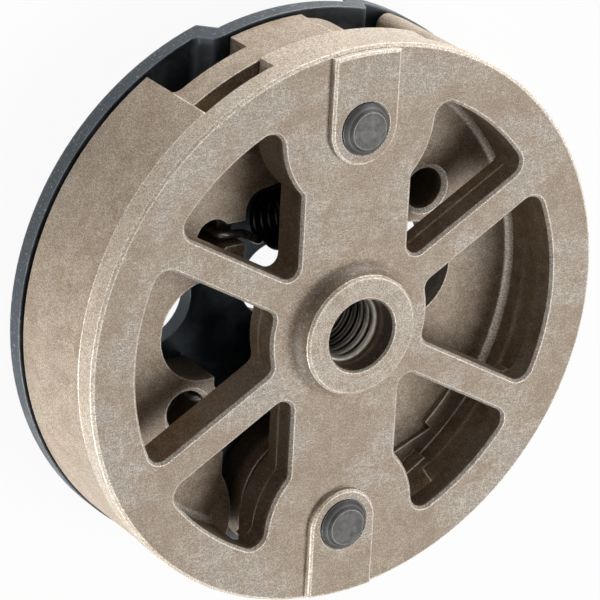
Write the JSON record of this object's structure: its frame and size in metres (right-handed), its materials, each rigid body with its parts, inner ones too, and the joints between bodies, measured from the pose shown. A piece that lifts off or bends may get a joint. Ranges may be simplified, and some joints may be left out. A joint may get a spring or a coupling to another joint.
{
  "type": "centrifugal clutch",
  "caption": "Centrifugal clutch: spoked sintered carrier with threaded hub, hinged weights that swing out on pivot pins against coil springs, and a dark stamped back plate.",
  "frame": {"origin": "on the turning axis, at the underside of the back plate", "axes": "+Z along the turning axis out of the threaded boss, +Y towards one pivot pin, +X to its right seen from the boss"},
  "size_m": [0.0781, 0.078, 0.0238],
  "materials": {
    "sintered": "matt",
    "shoe": "matt",
    "plate": "blued",
    "pin": "satin",
    "spring": "satin"
  },
  "bodies": {
    "frame": {"carrier": "sintered", "back_plate": "plate", "pin_upper": "pin", "pin_lower": "pin", "spring_upper": "spring", "spring_lower": "spring"},
    "left_weight": {"shoe_left": "shoe"},
    "right_weight": {"shoe_right": "shoe"}
  },
  "joints": [
    {"name": "left_swing", "type": "hinge", "parent": "frame", "child": "left_weight", "pos_m": [0, 0.0282, 0.01], "axis": [0, 0, -1], "range_deg": [0, 2], "stiffness_Nm_per_rad": 19, "springref_deg": -6.76, "deforming": ["spring_upper", "spring_lower"]},
    {"name": "right_swing", "type": "hinge", "parent": "frame", "child": "right_weight", "pos_m": [0, -0.0282, 0.01], "axis": [0, 0, -1], "range_deg": [0, 2], "stiffness_Nm_per_rad": 19, "springref_deg": -6.76, "deforming": ["spring_upper", "spring_lower"]}
  ]
}
